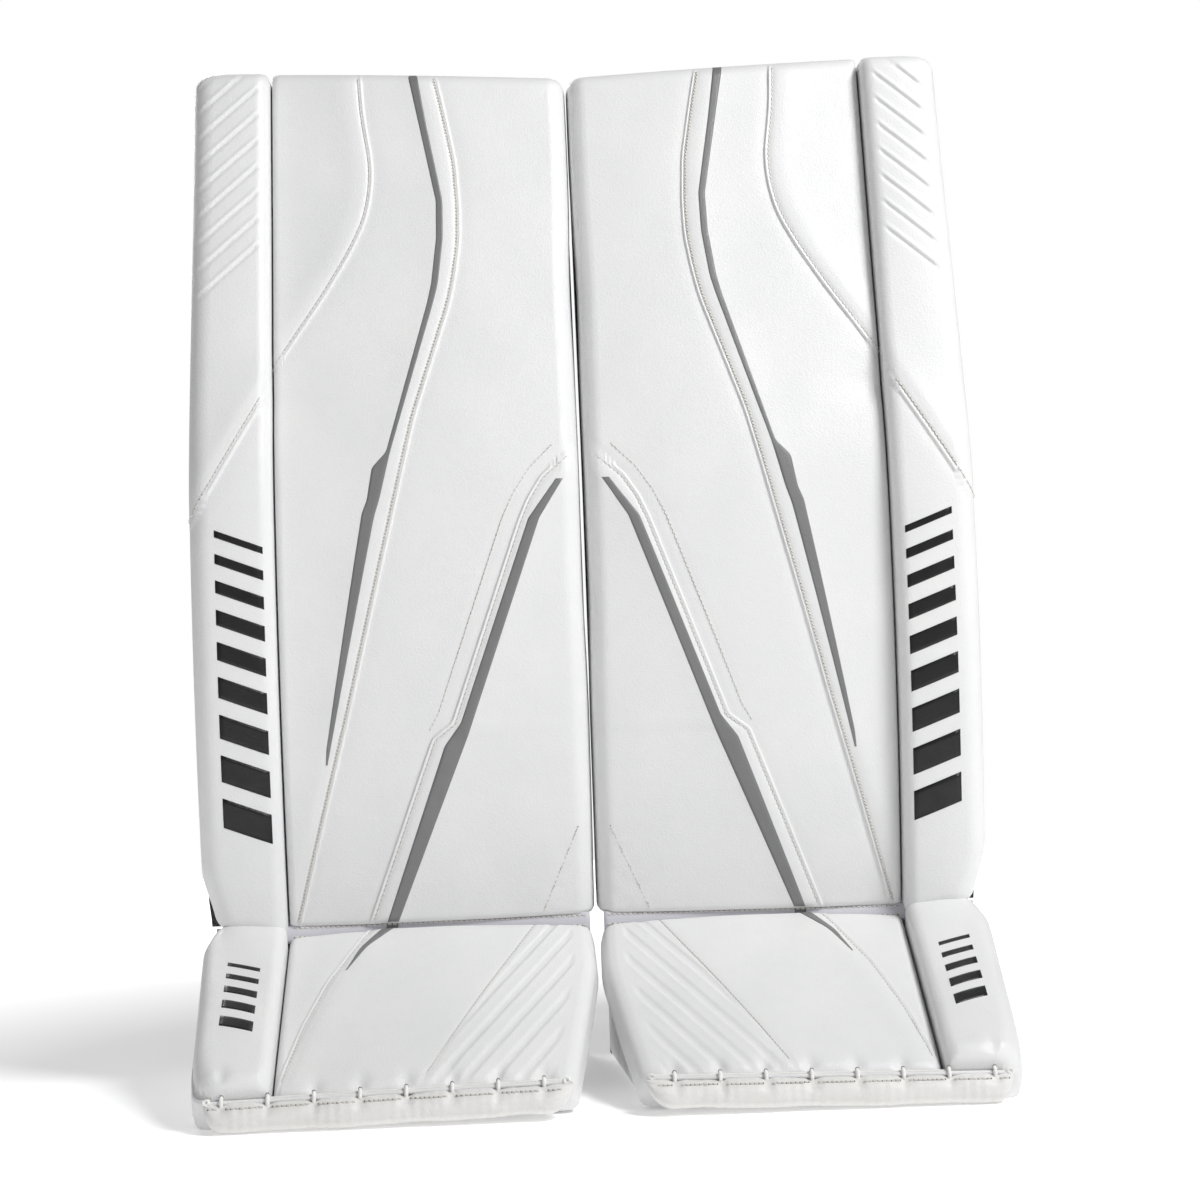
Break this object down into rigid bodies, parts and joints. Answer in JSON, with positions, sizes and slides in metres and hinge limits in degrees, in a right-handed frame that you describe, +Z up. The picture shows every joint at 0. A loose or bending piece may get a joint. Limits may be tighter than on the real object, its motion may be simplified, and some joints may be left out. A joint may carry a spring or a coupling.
{
  "type": "ice hockey goalie leg pads",
  "caption": "Pair of upright white padded leg guards with outer rolls, sloping boots, black padded leg channels, wings and straps.",
  "frame": {"origin": "on the floor, below the middle of the pair standing side by side", "axes": "+Z up, -Y the way the faces look, +X toward the left pad, whose outer roll is its +X edge"},
  "size_m": [0.564, 0.3394, 0.748],
  "materials": {
    "white_leather": "white synthetic leather with a fine grain, satin",
    "foam": "closed-cell foam, inside the covers",
    "board": "stiff plastic board",
    "black_liner": "black woven nylon over foam",
    "webbing": "black nylon webbing",
    "plastic": "moulded black plastic",
    "lace": "white waxed lace"
  },
  "bodies": {
    "left_boot": {"left_boot_core": "foam", "left_boot_cover": "white_leather", "left_boot_roll_core": "foam", "left_boot_roll_cover": "white_leather", "left_toe_roll": "white_leather", "left_toe_lacing": "lace", "left_boot_wall_inner": "black_liner", "left_boot_wall_outer": "black_liner", "left_toe_bridge": "webbing", "left_ankle_gusset": "white_leather"},
    "left_leg": {"left_main_core": "foam", "left_stiffener_board": "board", "left_face_cover": "white_leather", "left_side_panel": "white_leather", "left_back_liner": "black_liner", "left_roll_core": "foam", "left_roll_cover": "white_leather", "left_shin_cushion": "black_liner", "left_knee_pad": "black_liner", "left_knee_block": "black_liner", "left_calf_wrap_inner": "black_liner", "left_ankle_tab": "webbing"},
    "left_calf_wing": {"left_calf_wing": "black_liner"},
    "left_knee_wing": {"left_knee_wing": "black_liner"},
    "left_calf_strap": {"left_calf_strap": "webbing"},
    "left_knee_strap": {"left_knee_strap": "webbing"},
    "left_boot_strap": {"left_boot_strap": "webbing", "left_boot_buckle": "plastic"},
    "left_toe_strap": {"left_toe_strap": "webbing", "left_toe_hook": "plastic"},
    "right_boot": {"right_boot_core": "foam", "right_boot_cover": "white_leather", "right_boot_roll_core": "foam", "right_boot_roll_cover": "white_leather", "right_toe_roll": "white_leather", "right_toe_lacing": "lace", "right_boot_wall_inner": "black_liner", "right_boot_wall_outer": "black_liner", "right_toe_bridge": "webbing", "right_ankle_gusset": "white_leather"},
    "right_leg": {"right_main_core": "foam", "right_stiffener_board": "board", "right_face_cover": "white_leather", "right_side_panel": "white_leather", "right_back_liner": "black_liner", "right_roll_core": "foam", "right_roll_cover": "white_leather", "right_shin_cushion": "black_liner", "right_knee_pad": "black_liner", "right_knee_block": "black_liner", "right_calf_wrap_inner": "black_liner", "right_ankle_tab": "webbing"},
    "right_calf_wing": {"right_calf_wing": "black_liner"},
    "right_knee_wing": {"right_knee_wing": "black_liner"},
    "right_calf_strap": {"right_calf_strap": "webbing"},
    "right_knee_strap": {"right_knee_strap": "webbing"},
    "right_boot_strap": {"right_boot_strap": "webbing", "right_boot_buckle": "plastic"},
    "right_toe_strap": {"right_toe_strap": "webbing", "right_toe_hook": "plastic"}
  },
  "joints": [
    {"name": "pads_apart", "type": "slide", "parent": "left_boot", "child": "right_boot", "axis": [-1, 0, 0], "range_m": [0, 0.25]},
    {"name": "left_boot_flex", "type": "hinge", "parent": "left_boot", "child": "left_leg", "pos_m": [0.142, -0.00718, 0.1118], "axis": [1, 0, 0], "range_deg": [-12, 25], "deforming": ["left_ankle_gusset"]},
    {"name": "left_calf_wing_fold", "type": "hinge", "parent": "left_leg", "child": "left_calf_wing", "pos_m": [0.274, 0.04422, 0.2575], "axis": [0, 0, -1], "range_deg": [0, 70]},
    {"name": "left_calf_strap_open", "type": "hinge", "parent": "left_calf_wing", "child": "left_calf_strap", "pos_m": [0.234, 0.16352, 0.255], "axis": [0, 0, -1], "range_deg": [0, 100]},
    {"name": "left_knee_wing_fold", "type": "hinge", "parent": "left_leg", "child": "left_knee_wing", "pos_m": [0.274, 0.06062, 0.471], "axis": [0, -0.2543, -0.9671], "range_deg": [0, 70]},
    {"name": "left_knee_strap_open", "type": "hinge", "parent": "left_knee_wing", "child": "left_knee_strap", "pos_m": [0.229, 0.14182, 0.471], "axis": [0, -0.2543, -0.9671], "range_deg": [0, 100]},
    {"name": "left_boot_strap_open", "type": "hinge", "parent": "left_boot", "child": "left_boot_strap", "pos_m": [0.2765, 0.09422, 0.075], "axis": [0, 0, -1], "range_deg": [0, 110]},
    {"name": "left_toe_strap_swing", "type": "hinge", "parent": "left_boot", "child": "left_toe_strap", "pos_m": [0.143, -0.06418, 0.02], "axis": [1, 0, 0], "range_deg": [0, 30]},
    {"name": "right_boot_flex", "type": "hinge", "parent": "right_boot", "child": "right_leg", "pos_m": [-0.142, -0.00718, 0.1118], "axis": [1, 0, 0], "range_deg": [-12, 25], "deforming": ["right_ankle_gusset"]},
    {"name": "right_calf_wing_fold", "type": "hinge", "parent": "right_leg", "child": "right_calf_wing", "pos_m": [-0.274, 0.04422, 0.2575], "axis": [0, 0, 1], "range_deg": [0, 70]},
    {"name": "right_calf_strap_open", "type": "hinge", "parent": "right_calf_wing", "child": "right_calf_strap", "pos_m": [-0.234, 0.16352, 0.255], "axis": [0, 0, 1], "range_deg": [0, 100]},
    {"name": "right_knee_wing_fold", "type": "hinge", "parent": "right_leg", "child": "right_knee_wing", "pos_m": [-0.274, 0.06062, 0.471], "axis": [0, 0.2543, 0.9671], "range_deg": [0, 70]},
    {"name": "right_knee_strap_open", "type": "hinge", "parent": "right_knee_wing", "child": "right_knee_strap", "pos_m": [-0.229, 0.14182, 0.471], "axis": [0, 0.2543, 0.9671], "range_deg": [0, 100]},
    {"name": "right_boot_strap_open", "type": "hinge", "parent": "right_boot", "child": "right_boot_strap", "pos_m": [-0.2765, 0.09422, 0.075], "axis": [0, 0, 1], "range_deg": [0, 110]},
    {"name": "right_toe_strap_swing", "type": "hinge", "parent": "right_boot", "child": "right_toe_strap", "pos_m": [-0.143, -0.06418, 0.02], "axis": [1, 0, 0], "range_deg": [0, 30]}
  ]
}
